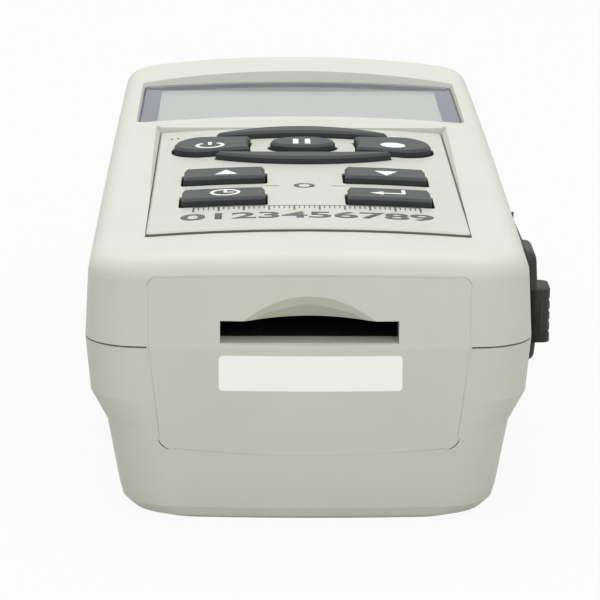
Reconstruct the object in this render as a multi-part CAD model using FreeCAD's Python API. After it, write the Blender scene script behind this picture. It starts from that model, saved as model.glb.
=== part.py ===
import FreeCAD, Part
import math
import os

# Handheld digital pressure meter with a memory-card slot in its near end.
# Frame: millimetres, +Z up, +X to the right, +Y from the card slot to the hose ports.
# The origin is the centre of the flat underside.

V = FreeCAD.Vector
UP = V(0, 0, 1)
RIGHT = V(1, 0, 0)
AWAY = V(0, 1, 0)

# Case, outside
case_length = 189.5
case_half_width = 36.5
case_height = 47.5
upper_height = 18.2
wall = 2.2
corner_r = 9.2
near_bulge_r = 250.0
far_bulge_r = 136.0
upper_draft_degrees = 2.8
crown_r = 350.0
sweep_r = 4000.0
sweep_from_far_end = 39.5
top_edge_r = 3.8
floor_side_turn = 4.2
floor_end_turn = 1.7

# Lower case below the parting: height, narrowing of its sides, narrowing of its ends
shoulder_top = (20.2, 0.8, 0.5)
shoulder_foot = (15.2, 3.5, 0.9)
floor_edge = (0.0, 5.4, 2.1)
floor_edge_bevels = 3

# Case, inside
inner_corner = 5.0
ceiling_drop = 5.5
eaves = 3.4
cut_over = 2.0

# Joint between the two case halves
parting_gap = 0.3
tongue_width = 1.0
tongue_height = 1.4
tongue_clearance = 0.1

# End plate with the card slot
plate_half_width = 25.9
plate_foot_half_width = 24.0
plate_top_drop = 6.8
plate_foot_z = 12.5
plate_top_rise = 0.5
plate_foot_fall = 1.2
plate_corner_r = 1.8
plate_gap = 0.28
plate_flange = 1.6
plate_back = 5.4
slot_half_width = 14.4
slot_above_parting = 0.95
slot_height = 3.65
slot_arch = 0.7
slot_lip = 0.7
scoop_half_width = 10.7
scoop_rise = 3.4
scoop_depth = 2.0

# Keypad plate, let into the top of the case
keypad_half_width = 26.7
keypad_from_near_end = 16.5
keypad_length = 91.3
keypad_sink = 1.55
keypad_thickness = 2.15
keypad_corner_r = 1.0
keypad_edge = 0.3
keypad_clearance = 0.2
keypad_ledge = 1.4
keypad_side_slope = 0.6
keypad_far_slope = 1.4

# Keys
key_proud = 1.4
key_gap = 0.5
key_edge = 0.5
key_travel = 0.6
key_flange = 1.2
key_flange_thickness = 0.8
key_seat_gap = 0.3
key_stem_half = 1.8
key_half_width = 7.1
key_half_length = 4.3
key_corner_r = 0.8
key_column_inset = 12.5
key_row_pitch = 18.6
cluster_to_rows = 28.8
cluster_from_far_edge = 20.8
hold_half_width = 6.0
hold_half_length = 4.6
wing_from_hold = 3.6
wing_inner_half = 5.3
wing_hollow = 0.6
wing_shoulder_half = 6.7
wing_tip_inset = 3.0
wing_tip_length = 4.7
wing_swell_out = 0.74
wing_swell_half = 0.62
arc_half_width = 16.0
arc_outer_mid = 15.7
arc_outer_end = 9.6
arc_inner_mid = 10.5
arc_inner_end = 8.4
arc_end_slant = 0.3
arc_gap = 0.25

# Display
lens_side_margin = 5.3
lens_from_keypad = 5.8
lens_from_far_end = 24.5
lens_bow = 6.5
lens_sink = 2.2
lens_thickness = 1.6
lens_clearance = 0.2
lens_corner_r = 2.0
lens_edge = 0.2
lens_ledge_width = 3.0
lens_ledge = 1.1
lens_side_slope = 0.45
lens_far_slope = 0.28
lcd_side_margin = 1.2
lcd_near_margin = 1.0
lcd_far_margin = 8.0
lcd_frame_wall = 1.2
lcd_glass_thickness = 1.1
lcd_glass_sink = 0.3
lcd_gap = 0.2
lcd_slack = 0.1

# Main board and what it carries
board_drop = 2.0
board_thickness = 1.6
board_side_margin = 5.5
board_near_margin = 15.0
board_far_margin = 25.0
board_screw_inset = 2.1
board_screw_r = 1.1
board_screw_head_r = 1.9
board_screw_head = 1.1
board_screw_length = 4.4
board_hole_slack = 0.2
board_post_half = 1.9
mat_thickness = 1.0
mat_slack = 0.3
chip_half = 6.0
chip_thickness = 1.5
chip_from_far_edge = 90.0
buzzer_r = 5.5
buzzer_height = 5.0
buzzer_margins = (13.0, 36.0)
coin_r = 10.0
coin_height = 3.0
coin_margins = (17.0, 41.0)

# Card board and socket behind the slot
socket_wall = 0.9
socket_length = 30.0
socket_back = 2.0
card_drop = 1.65
card_board_thickness = 1.4
card_board_half_width = 18.5
card_board_gap = 0.8
card_board_length = 35.8
card_post_half = 2.4
card_post_x = 15.5
card_post_inset = 7.3
connector_half_width = 8.0
connector_length = 2.9
connector_inset = 1.6

# Battery bay, opening downwards, with its cells side by side
cell_r = 7.15
cell_length = 49.2
cell_nub_r = 2.7
cell_nub = 1.1
cell_count = 6
cell_gap = 0.3
cell_floor_gap = 0.35
cell_end_gap = 0.2
bay_end_room = 2.6
bay_from_near_end = 18.0
bay_wall = 1.4
contact_width = 9.0
contact_half_height = 4.5
contact_face_half = 1.2
contact_thickness = 0.4
contact_gap = 0.1
cover_thickness = 2.0
cover_gap = 0.25
cover_ledge = 1.2
cover_corner_r = 3.0
cover_tail = 8.6
cover_hook = 2.2
cover_hook_half = 7.5
cover_hook_thickness = 1.4
cover_hook_slack = 0.2
cover_hook_root = 3.0
grip_groove_half = 9.0
grip_groove_width = 0.8
grip_groove_pitch = 1.6
grip_groove_depth = 0.4
grip_groove_count = 3
grip_groove_inset = 14.0
cover_screw_r = 1.2
cover_screw_head_r = 2.6
cover_screw_head = 0.9
cover_screw_length = 8.5
cover_screw_sink = 0.1
cover_boss_half = 3.4

# Screws that join the case halves, from below
case_screw_side_margin = 14.5
case_screw_near_margin = 10.6
case_screw_far_margin = 12.0
case_screw_r = 1.25
case_screw_head_r = 2.4
case_screw_head = 1.6
case_screw_bite = 4.1
case_screw_hole_over = 1.0
case_screw_sink = 1.4
case_screw_slack = 0.3
case_boss_half = 3.3

# Fold-out stand
stand_half_width = 20.5
stand_from_cover = 10.0
stand_axis_z = 2.1
stand_thickness = 2.0
stand_lift = 0.25
stand_corner_r = 3.0
stand_barrel_r = 1.8
stand_pin_r = 1.0
stand_pin_clearance = 0.05
stand_pin_reach = 2.8
stand_gap = 0.5
stand_roof = 1.6
stand_block = 3.0
stand_rib_x = 12.0
stand_rib_half = 0.7
stand_rib_height = 0.8
stand_rib_inset = 6.0
stand_notch_r = 3.0
finger_r = 5.0
finger_depth = 2.2

# Tripod insert
tripod_from_far_end = 15.0
tripod_from_stand = 12.0
tripod_thread_r = 2.55
tripod_outer_r = 4.6
tripod_length = 8.0
tripod_depth = 7.0
tripod_recess = 0.3
tripod_boss = 2.0

# Hose ports in the far end
port_x = 9.5
port_drop = 12.1
port_bore_r = 1.2
port_tube_r = 2.3
port_barb_r = 2.75
port_barbs = 2
port_barb_pitch = 4.8
port_barb_back = 0.5
port_neck = 2.0
port_flange_r = 5.0
port_flange_thickness = 1.6
port_seat_depth = 1.5
port_seat_slack = 0.2
port_body_r = 3.6
port_body_length = 6.5
port_clearance = 0.1
port_pad = 3.0
port_pad_half_width = 16.0
port_nut_r = 5.4
port_nut_thickness = 2.4
port_tail = 5.0
tube_wall = 0.8
tube_overlap = 0.5
sensor_stem_tip = 21.0
sensor_stem = 4.0
sensor_half_width = 15.0
sensor_length = 16.0
sensor_below_stem = 5.0

# Side cover over the jacks
cover_from_near_end = 22.0
hinge_from_near_end = 70.7
cover_above_jacks = 8.0
cover_below_jacks = 10.0
cover_skin = 1.15
cover_air = 0.2
cover_lip_length = 10.5
cover_lip_above_jacks = 9.9
cover_lip_skin = 2.0
cover_round_r = 2.2
cover_lip_round_r = 1.5
hinge_bead_r = 0.65
hinge_gap = 0.3
anchor_length = 6.0
grip_length = 8.0
grip_above_jacks = 3.5
grip_below_jacks = 5.8
grip_reach = 4.1
grip_round_r = 1.6
grip_ribs = 4
grip_rib_depth = 0.45
jack_window_margin = (6.0, 4.7)
jack_window_half = 6.4
plug_depth = 1.6
plug_gap = 0.5
plug_wall = 1.4
jacks_above_parting = 1.3
jack_inset = 3.3
jack_length = 7.6
jack_board_thickness = 1.6
jack_board_margin = 2.0
dc_jack_from_hinge = 35.7
dc_jack_half = 4.8
dc_jack_hole_r = 2.9
dc_jack_pin_r = 0.9
serial_jack_from_hinge = 23.2
serial_jack_half = 4.0
serial_jack_hole_r = 1.8
jack_hole_depth = 6.0
reset_from_hinge = 11.2
reset_r = 1.4
reset_half = 3.0
reset_inset = 3.0
reset_length = 4.6
reset_travel = 0.5
reset_clearance = 0.05

# Places that follow from the sizes above
near_y = -case_length / 2
far_y = case_length / 2
parting_z = case_height - upper_height
ceiling_z = case_height - ceiling_drop
side_reach = case_half_width + 4
inner_levels = [(parting_z, 0.0, 0.0), shoulder_top, shoulder_foot, floor_edge]
draft = math.tan(math.radians(upper_draft_degrees))
sweep_apex_y = far_y - sweep_from_far_end
plate_top_z = case_height - plate_top_drop
slot_bottom_z = parting_z + slot_above_parting
slot_top_z = slot_bottom_z + slot_height
keypad_near_y = near_y + keypad_from_near_end
keypad_far_y = keypad_near_y + keypad_length
keypad_middle_y = (keypad_near_y + keypad_far_y) / 2
keypad_top_z = case_height - keypad_sink
keypad_under_z = keypad_top_z - keypad_thickness
key_flange_top_z = keypad_under_z - key_seat_gap
key_flange_low_z = key_flange_top_z - key_flange_thickness
key_column_x = keypad_half_width - key_column_inset
cluster_y = keypad_far_y - cluster_from_far_edge
key_row_far_y = cluster_y - cluster_to_rows
key_row_near_y = key_row_far_y - key_row_pitch
wing_inner_x = hold_half_width + wing_from_hold
wing_tip_x = keypad_half_width - wing_tip_inset
wing_shoulder_x = wing_tip_x - wing_tip_length
lens_half_width = case_half_width - lens_side_margin
lens_near_y = keypad_far_y + lens_from_keypad
lens_far_y = far_y - lens_from_far_end
lens_side_y = lens_far_y - lens_bow
lens_top_z = case_height - lens_sink
lens_low_z = lens_top_z - lens_thickness
lcd_half_width = lens_half_width - lcd_side_margin
lcd_near_y = lens_near_y + lcd_near_margin
lcd_far_y = lens_far_y - lcd_far_margin
lcd_top_z = lens_low_z - lens_ledge - lcd_gap
board_top_z = ceiling_z - board_drop
board_bottom_z = board_top_z - board_thickness
board_half_width = case_half_width - board_side_margin
board_near_y = near_y + board_near_margin
board_far_y = far_y - board_far_margin
board_screw_x = board_half_width - board_screw_inset
board_screw_y = (keypad_far_y + lens_near_y) / 2 - 1
chip_y = board_far_y - chip_from_far_edge
buzzer_place = (board_half_width - buzzer_margins[0], board_far_y - buzzer_margins[1])
coin_place = (coin_margins[0] - board_half_width, board_far_y - coin_margins[1])
socket_near_y = near_y + plate_back
card_board_top_z = slot_bottom_z - card_drop
card_board_low_z = card_board_top_z - card_board_thickness
card_board_near_y = socket_near_y + card_board_gap
card_board_far_y = card_board_near_y + card_board_length
case_screw_x = case_half_width - case_screw_side_margin
case_screw_length = parting_z + case_screw_bite - case_screw_sink
cell_pitch = 2 * cell_r + cell_gap
cell_axis_z = cover_thickness + cell_floor_gap + cell_r
bay_floor_z = cover_thickness + cover_hook_thickness
bay_roof_z = cell_axis_z + cell_r + cell_floor_gap
bay_half_width = cell_length / 2 + cell_nub + bay_end_room
bay_near_y = near_y + bay_from_near_end
bay_far_y = bay_near_y + cell_count * cell_pitch + 2 * cell_floor_gap
cover_half_width = cell_length / 2 + cell_end_gap + cover_ledge
cover_far_y = bay_far_y + cover_tail
cover_screw_y = bay_far_y + cover_tail / 2
tripod_y = far_y - tripod_from_far_end
stand_axis_y = tripod_y - tripod_from_stand
stand_near_y = cover_far_y + stand_from_cover
port_z = case_height - port_drop
port_seat_y = far_y - port_seat_depth
port_pad_y = far_y - wall - port_pad
port_barbs_length = port_barbs * port_barb_pitch
sensor_stem_y = far_y - sensor_stem_tip
sensor_far_y = sensor_stem_y - sensor_stem
cover_near_y = near_y + cover_from_near_end
hinge_y = near_y + hinge_from_near_end
hinge_x = case_half_width + cover_air + hinge_bead_r
jack_z = parting_z + jacks_above_parting
jack_face_x = case_half_width - jack_inset
jack_board_x = jack_face_x - jack_length - jack_board_thickness
window_near_y = cover_near_y + jack_window_margin[0]
window_far_y = hinge_y - jack_window_margin[1]
reset_y = hinge_y - reset_from_hinge


def box(x0, x1, y0, y1, z0, z1):
    return Part.makeBox(x1 - x0, y1 - y0, z1 - z0, V(x0, y0, z0))


def middle_box(half_x, y0, y1, z0, z1):
    return box(-half_x, half_x, y0, y1, z0, z1)


def post(x, y, half, z0, z1):
    return box(x - half, x + half, y - half, y + half, z0, z1)


def rod(radius, length, base, axis):
    return Part.makeCylinder(radius, length, base, axis)


def arc(a, b, c):
    return Part.Arc(a, b, c).toShape()


def sheet(points):
    return Part.Face(Part.makePolygon(points + points[:1]))


def edges_along(shape, direction, select=lambda place: True):
    """Straight edges along a direction, at places that select allows."""
    found = []
    for edge in shape.Edges:
        if edge.Curve.TypeId != "Part::GeomLine":
            continue
        run = (edge.lastVertex().Point - edge.firstVertex().Point).normalize()
        if abs(run.dot(direction)) > 0.98 and select(edge.CenterOfMass):
            found.append(edge)
    return found


def top_face(shape):
    return max(shape.Faces, key=lambda face: face.CenterOfMass.z)


# Outer form of the case
def plan_wire(narrow_sides, narrow_ends, z):
    """Case outline in plan: bowed ends, straight sides, rounded corners."""
    half_width = case_half_width - narrow_sides
    run = half_width - corner_r
    ends = []
    for end_y, bulge_r, way in ((near_y + narrow_ends, near_bulge_r, 1), (far_y - narrow_ends, far_bulge_r, -1)):
        reach_y = math.sqrt((bulge_r - corner_r) ** 2 - run ** 2)
        lean = math.atan2(run, reach_y)
        middle = (lean + math.pi / 2) / 2
        bow = V(bulge_r * math.sin(lean), end_y + way * bulge_r * (1 - math.cos(lean)), z)
        round_y = end_y + way * (bulge_r - reach_y)
        bend = V(run + corner_r * math.sin(middle), round_y - way * corner_r * math.cos(middle), z)
        ends.append((V(0, end_y, z), bow, bend, V(half_width, round_y, z)))

    def flip(point):
        return V(-point.x, point.y, point.z)

    (near_mid, near_bow, near_bend, near_side), (far_mid, far_bow, far_bend, far_side) = ends
    return Part.Wire([
        arc(flip(near_bow), near_mid, near_bow),
        arc(near_bow, near_bend, near_side),
        Part.makeLine(near_side, far_side),
        arc(far_side, far_bend, far_bow),
        arc(far_bow, far_mid, flip(far_bow)),
        arc(flip(far_bow), flip(far_bend), flip(far_side)),
        Part.makeLine(flip(far_side), flip(near_side)),
        arc(flip(near_side), flip(near_bend), flip(near_bow)),
    ])


def crowned_slab():
    """Everything under the doubly curved top of the case."""
    half = side_reach + top_edge_r
    drop = crown_r - math.sqrt(crown_r ** 2 - half ** 2)
    left = V(-half, sweep_apex_y, case_height - drop)
    right = V(half, sweep_apex_y, case_height - drop)
    crown = arc(left, V(0, sweep_apex_y, case_height), right)
    rest = Part.makePolygon([right, V(half, sweep_apex_y, 0), V(-half, sweep_apex_y, 0), left])
    section = Part.Face(Part.Wire([crown] + rest.Edges))
    swing = math.degrees(case_length / sweep_r)
    centre = V(0, sweep_apex_y, case_height - sweep_r)
    section.rotate(centre, RIGHT, -swing)
    return section.revolve(centre, RIGHT, 2 * swing)


def upper_narrowing(z):
    return (z - parting_z) * draft


def upper_form(low_z):
    """The upper half of the case as one solid, from a height up."""
    wires = []
    for z in (low_z, case_height + cut_over):
        wires.append(plan_wire(upper_narrowing(z), upper_narrowing(z), z))
    body = Part.makeLoft(wires, True, True).common(crowned_slab())
    return body.makeFillet(top_edge_r, top_face(body).Edges)


def lower_form():
    """The lower half of the case as one solid, with the shoulder along its sides and a turned-in floor edge."""
    floor_z, sides, ends = floor_edge
    levels = inner_levels[:-1]
    for step in range(floor_edge_bevels + 1):
        turn = math.pi / 2 * step / floor_edge_bevels
        turned_in = 1 - math.cos(turn)
        levels.append((floor_z + floor_side_turn * (1 - math.sin(turn)), sides + floor_side_turn * turned_in,
                       ends + floor_end_turn * turned_in))
    return Part.makeLoft([plan_wire(sides, ends, z) for z, sides, ends in levels], True, True)


# Inner form of the case
def inner_wire(narrow_sides, narrow_ends, inset, z):
    """Outline inside the case, with its corners cut off straight."""
    half_width = case_half_width - narrow_sides - inset
    turn = half_width - inner_corner
    edges = []
    for end_y, bulge_r, way in ((near_y + narrow_ends + inset, near_bulge_r, 1),
                                (far_y - narrow_ends - inset, far_bulge_r, -1)):
        bow = V(turn, end_y + way * (bulge_r - math.sqrt(bulge_r ** 2 - turn ** 2)), z)
        edges.append((V(0, end_y, z), bow, V(half_width, bow.y + way * inner_corner, z)))
    (near_mid, near_bow, near_side), (far_mid, far_bow, far_side) = edges
    left = [V(-point.x, point.y, z) for point in (far_bow, far_side, near_side, near_bow)]
    return Part.Wire([arc(left[3], near_mid, near_bow)]
                     + Part.makePolygon([near_bow, near_side, far_side, far_bow]).Edges
                     + [arc(far_bow, far_mid, left[0])] + Part.makePolygon(left).Edges)


def upper_cavity():
    eaves_z = ceiling_z - eaves
    levels = [(parting_z, 0), (eaves_z, upper_narrowing(eaves_z)), (ceiling_z, upper_narrowing(eaves_z) + eaves)]
    return Part.makeLoft([inner_wire(narrow, narrow, wall, z) for z, narrow in levels], True, True)


def lower_cavity():
    return Part.makeLoft([inner_wire(sides, ends, wall, max(z, wall)) for z, sides, ends in inner_levels],
                         True, True)


def tongue_ring(grow, inner_inset):
    """Ring on the lower case's rim, or grown for the rebate that it fits in the upper case."""
    outer = Part.Face(inner_wire(0, 0, wall - tongue_width - grow, parting_z - 1))
    inner = Part.Face(inner_wire(0, 0, inner_inset, parting_z - 1))
    return outer.cut(inner).extrude(V(0, 0, 1 + tongue_height + grow))


def plate_prism(grow):
    """Prism through the near end with the outline of the end plate."""
    x_top = plate_half_width + grow
    x_foot = plate_foot_half_width + grow
    top = plate_top_z + grow
    foot = plate_foot_z - grow
    y = near_y - cut_over
    outline = Part.Wire([
        arc(V(-x_top, y, top), V(0, y, top + plate_top_rise), V(x_top, y, top)),
        Part.makeLine(V(x_top, y, top), V(x_top, y, parting_z)),
        Part.makeLine(V(x_top, y, parting_z), V(x_foot, y, foot)),
        arc(V(x_foot, y, foot), V(0, y, foot - plate_foot_fall), V(-x_foot, y, foot)),
        Part.makeLine(V(-x_foot, y, foot), V(-x_top, y, parting_z)),
        Part.makeLine(V(-x_top, y, parting_z), V(-x_top, y, top)),
    ])
    prism = Part.Face(outline).extrude(V(0, 2 * plate_back + cut_over, 0))
    corners = edges_along(prism, AWAY, lambda place: abs(place.z - parting_z) > 1)
    return prism.makeFillet(plate_corner_r + grow, corners)


# Outlines on the keypad, all level
def rectangle_wire(cx, cy, half_x, half_y, corner, z):
    block = box(cx - half_x, cx + half_x, cy - half_y, cy + half_y, z, z + 1)
    block = block.makeFillet(corner, edges_along(block, UP))
    return min(block.Faces, key=lambda face: face.CenterOfMass.z).OuterWire


def button_wire(column, row_y, grow, z):
    return rectangle_wire(column * key_column_x, row_y, key_half_width + grow, key_half_length + grow,
                          key_corner_r, z)


def hold_wire(grow, z):
    return Part.Wire(Part.Ellipse(V(0, cluster_y, z), hold_half_width + grow, hold_half_length + grow).toShape())


def wing_wire(side, grow, z):
    """Outer key of the cluster: a rounded tip and a hollow inner end."""
    inner = side * (wing_inner_x - grow)
    shoulder = side * wing_shoulder_x
    tip = V(side * (wing_tip_x + grow), cluster_y, z)
    swell_x = side * (wing_shoulder_x + wing_tip_length * wing_swell_out + grow)
    swell = wing_shoulder_half * wing_swell_half + grow
    narrow = wing_inner_half + grow
    wide = wing_shoulder_half + grow
    inner_far = V(inner, cluster_y + narrow, z)
    wide_far = V(shoulder, cluster_y + wide, z)
    wide_near = V(shoulder, cluster_y - wide, z)
    inner_near = V(inner, cluster_y - narrow, z)
    return Part.Wire([
        Part.makeLine(inner_far, wide_far),
        arc(wide_far, V(swell_x, cluster_y + swell, z), tip),
        arc(tip, V(swell_x, cluster_y - swell, z), wide_near),
        Part.makeLine(wide_near, inner_near),
        arc(inner_near, V(inner + side * wing_hollow, cluster_y, z), inner_far),
    ])


def crescent_wire(way, grow, z):
    """Fixed arc of the mat, beyond (way 1) or before (way -1) the middle key."""
    outer_x = arc_half_width + grow
    inner_x = outer_x - arc_end_slant
    outer = [V(-outer_x, cluster_y + way * arc_outer_end, z),
             V(0, cluster_y + way * (arc_outer_mid + grow), z),
             V(outer_x, cluster_y + way * arc_outer_end, z)]
    inner = [V(inner_x, cluster_y + way * (arc_inner_end - grow), z),
             V(0, cluster_y + way * (arc_inner_mid - grow), z),
             V(-inner_x, cluster_y + way * (arc_inner_end - grow), z)]
    return Part.Wire([arc(*outer), Part.makeLine(outer[2], inner[0]), arc(*inner),
                      Part.makeLine(inner[2], outer[0])])


key_outlines = {
    "key_time": lambda grow, z: button_wire(-1, key_row_near_y, grow, z),
    "key_enter": lambda grow, z: button_wire(1, key_row_near_y, grow, z),
    "key_up": lambda grow, z: button_wire(-1, key_row_far_y, grow, z),
    "key_down": lambda grow, z: button_wire(1, key_row_far_y, grow, z),
    "key_hold": hold_wire,
    "key_power": lambda grow, z: wing_wire(-1, grow, z),
    "key_record": lambda grow, z: wing_wire(1, grow, z),
}


def crowned_prism(outline, top_z, edge):
    """Prism on a level outline, crowned across like the case and chamfered round its top."""
    half = keypad_half_width + keypad_clearance
    low_z = outline.BoundBox.ZMin - 1
    y = outline.BoundBox.YMin - 1
    drop = crown_r - math.sqrt(crown_r ** 2 - half ** 2)
    left = V(-half, y, top_z - drop)
    right = V(half, y, top_z - drop)
    rest = Part.makePolygon([right, V(half, y, low_z), V(-half, y, low_z), left])
    section = Part.Face(Part.Wire([arc(left, V(0, y, top_z), right)] + rest.Edges))
    bar = section.extrude(V(0, outline.BoundBox.YLength + 2, 0))
    body = Part.Face(outline).extrude(V(0, 0, top_z - low_z)).common(bar)
    return body.makeChamfer(edge, top_face(body).Edges)


def keypad_plate():
    outline = rectangle_wire(0, keypad_middle_y, keypad_half_width, keypad_length / 2, keypad_corner_r,
                             keypad_under_z)
    plate = crowned_prism(outline, keypad_top_z, keypad_edge)
    cuts = [wire(key_gap, keypad_under_z - 1) for wire in key_outlines.values()]
    cuts += [crescent_wire(way, arc_gap, keypad_under_z - 1) for way in (1, -1)]
    return plate.cut([Part.Face(wire).extrude(V(0, 0, keypad_thickness + 2)) for wire in cuts])


def key_stem(name, grow, low_z, high_z):
    """Square stem under a key's middle, or grown for the hole that it drops through."""
    centre = Part.Face(key_outlines[name](0, 0)).CenterOfMass
    return post(centre.x, centre.y, key_stem_half + grow, low_z, high_z)


def key(name):
    outline = key_outlines[name]
    body = crowned_prism(outline(0, key_flange_top_z), keypad_top_z + key_proud, key_edge)
    room = outline(key_flange, 0).BoundBox
    flange = box(room.XMin, room.XMax, room.YMin, room.YMax, key_flange_low_z, key_flange_top_z)
    stem = key_stem(name, 0, board_top_z + key_travel + key_seat_gap, key_flange_low_z)
    return body.fuse([flange, stem]).removeSplitter()


def keypad_mat():
    """Sheet on the board under the keys, with the two fixed arcs that stand up through the plate."""
    inset = keypad_ledge + mat_slack
    mat = middle_box(keypad_half_width - inset, keypad_near_y + inset, keypad_far_y - inset,
                     board_top_z, board_top_z + mat_thickness)
    arcs = [crowned_prism(crescent_wire(way, 0, board_top_z), keypad_top_z + key_proud, key_edge)
            for way in (1, -1)]
    holes = [key_stem(name, key_seat_gap, board_top_z - 1, key_flange_low_z) for name in key_outlines]
    return mat.fuse(arcs).cut(holes).removeSplitter()


def keypad_recess():
    """Pocket for the keypad plate, with sloped sides and a sloped far wall over it."""
    half = keypad_half_width + keypad_clearance
    near = keypad_near_y - keypad_clearance
    far = keypad_far_y + keypad_clearance
    high = case_height + cut_over
    edge_z = keypad_top_z - keypad_half_width ** 2 / (2 * crown_r)
    pocket = middle_box(half, near, far, keypad_under_z, high)
    lean = keypad_side_slope * (high - edge_z)
    sides = sheet([V(-half, near, edge_z), V(half, near, edge_z), V(half + lean, near, high),
                   V(-half - lean, near, high)]).extrude(V(0, far - near, 0))
    slope = keypad_far_slope * (high - keypad_top_z)
    ramp = sheet([V(-half, far - 1, keypad_top_z), V(-half, far, keypad_top_z),
                  V(-half, far + slope, high), V(-half, far - 1, high)]).extrude(V(2 * half, 0, 0))
    opening = middle_box(keypad_half_width - keypad_ledge, keypad_near_y + keypad_ledge,
                         keypad_far_y - keypad_ledge, ceiling_z - cut_over, keypad_under_z + 1)
    return pocket.fuse([sides, ramp, opening])


# Display
def lens_wire(grow_sides, grow_ends, z):
    half = lens_half_width + grow_sides
    near = lens_near_y - grow_ends
    side = lens_side_y + grow_ends
    return Part.Wire([
        Part.makeLine(V(-half, near, z), V(half, near, z)),
        Part.makeLine(V(half, near, z), V(half, side, z)),
        arc(V(half, side, z), V(0, lens_far_y + grow_ends, z), V(-half, side, z)),
        Part.makeLine(V(-half, side, z), V(-half, near, z)),
    ])


def lens_prism(grow, low_z, high_z):
    prism = Part.Face(lens_wire(grow, grow, low_z)).extrude(V(0, 0, high_z - low_z))
    return prism.makeFillet(lens_corner_r, edges_along(prism, UP))


def display_lens():
    lens = lens_prism(0, lens_low_z, lens_top_z)
    return lens.makeChamfer(lens_edge, top_face(lens).Edges)


def lens_recess():
    """Pocket for the lens, flared from its top up to the case's, over an opening for the display."""
    pocket = lens_prism(lens_clearance, lens_low_z, lens_top_z + lens_clearance)
    high_z = case_height + cut_over
    rise = high_z - lens_top_z
    flare = Part.makeLoft([lens_wire(lens_clearance, lens_clearance, lens_top_z),
                           lens_wire(lens_clearance + rise * lens_side_slope,
                                     lens_clearance + rise * lens_far_slope, high_z)], True, True)
    slanted = [edge for edge in flare.Edges if edge.BoundBox.ZLength > rise / 2]
    flare = flare.makeFillet(lens_corner_r, slanted)
    opening = Part.Face(lens_wire(-lens_ledge_width, -lens_ledge_width, ceiling_z - cut_over))
    return pocket.fuse([flare, opening.extrude(V(0, 0, cut_over + ceiling_drop - lens_sink))])


def lcd_frame():
    """Tray on the board, with the backlight as its floor."""
    frame = middle_box(lcd_half_width, lcd_near_y, lcd_far_y, board_top_z, lcd_top_z)
    return frame.cut(lcd_room(0, cut_over))


def lcd_room(slack, over):
    """Room for the display glass in its frame."""
    inset = lcd_frame_wall + slack
    top_z = lcd_top_z - lcd_glass_sink
    return middle_box(lcd_half_width - inset, lcd_near_y + inset, lcd_far_y - inset,
                      top_z - lcd_glass_thickness, top_z + over)


# Case halves
upper_outer = upper_form(parting_z + parting_gap / 2)
lower_outer = lower_form()
case_screw_places = [(side * case_screw_x, y)
                     for y in (near_y + case_screw_near_margin, far_y - case_screw_far_margin) for side in (-1, 1)]
board_screw_places = [(side * board_screw_x, y)
                      for y in (board_near_y + board_screw_inset, board_screw_y) for side in (-1, 1)]


def jack_opening():
    return box(jack_board_x, side_reach, window_near_y, window_far_y,
               jack_z - jack_window_half, jack_z + jack_window_half)


def port_holes():
    """Bores for the ports' bodies, each with a flat seat round it for the flange."""
    holes = []
    for x in (-port_x, port_x):
        holes.append(rod(port_body_r + port_clearance, wall + port_pad + 1, V(x, port_pad_y - 1, port_z), AWAY))
        holes.append(rod(port_flange_r + port_seat_slack, port_seat_depth + 1, V(x, port_seat_y, port_z), AWAY))
    return holes


def upper_case():
    solid = [post(x, y, case_boss_half, parting_z, case_height) for x, y in case_screw_places]
    solid += [post(x, y, board_post_half, board_top_z, case_height) for x, y in board_screw_places]
    solid.append(middle_box(port_pad_half_width, port_pad_y, far_y, parting_z, case_height))
    cavity = upper_cavity().cut(solid)
    shell = upper_outer.cut(cavity)
    cuts = [rod(case_screw_r, case_screw_bite + case_screw_hole_over, V(x, y, parting_z), UP)
            for x, y in case_screw_places]
    cuts += [rod(board_screw_r, board_screw_length - board_thickness, V(x, y, board_top_z), UP)
             for x, y in board_screw_places]
    cuts.append(middle_box(lcd_half_width + lcd_gap, lcd_near_y - lcd_gap, lcd_far_y + lcd_gap,
                           ceiling_z - 1, lcd_top_z + lcd_gap))
    cuts += [lens_recess(), keypad_recess(), plate_prism(plate_gap), jack_opening(),
             tongue_ring(tongue_clearance, wall + 1)]
    return shell.cut(cuts + port_holes())


def stand_pocket():
    """Room for the folded stand and its barrel, in the underside."""
    return middle_box(stand_half_width + stand_gap, stand_near_y - stand_gap,
                      stand_axis_y + stand_barrel_r + stand_gap, -1, stand_axis_z + stand_barrel_r + stand_gap)


def stand_pin_rod(radius):
    reach = stand_half_width + stand_pin_reach
    return rod(radius, 2 * reach, V(-reach, stand_axis_y, stand_axis_z), RIGHT)


def battery_cover_prism(grow, low_z, high_z):
    wire = rectangle_wire(0, (bay_near_y + cover_far_y) / 2, cover_half_width + grow,
                          (cover_far_y - bay_near_y) / 2 + grow, cover_corner_r, low_z)
    return Part.Face(wire).extrude(V(0, 0, high_z - low_z))


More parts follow.
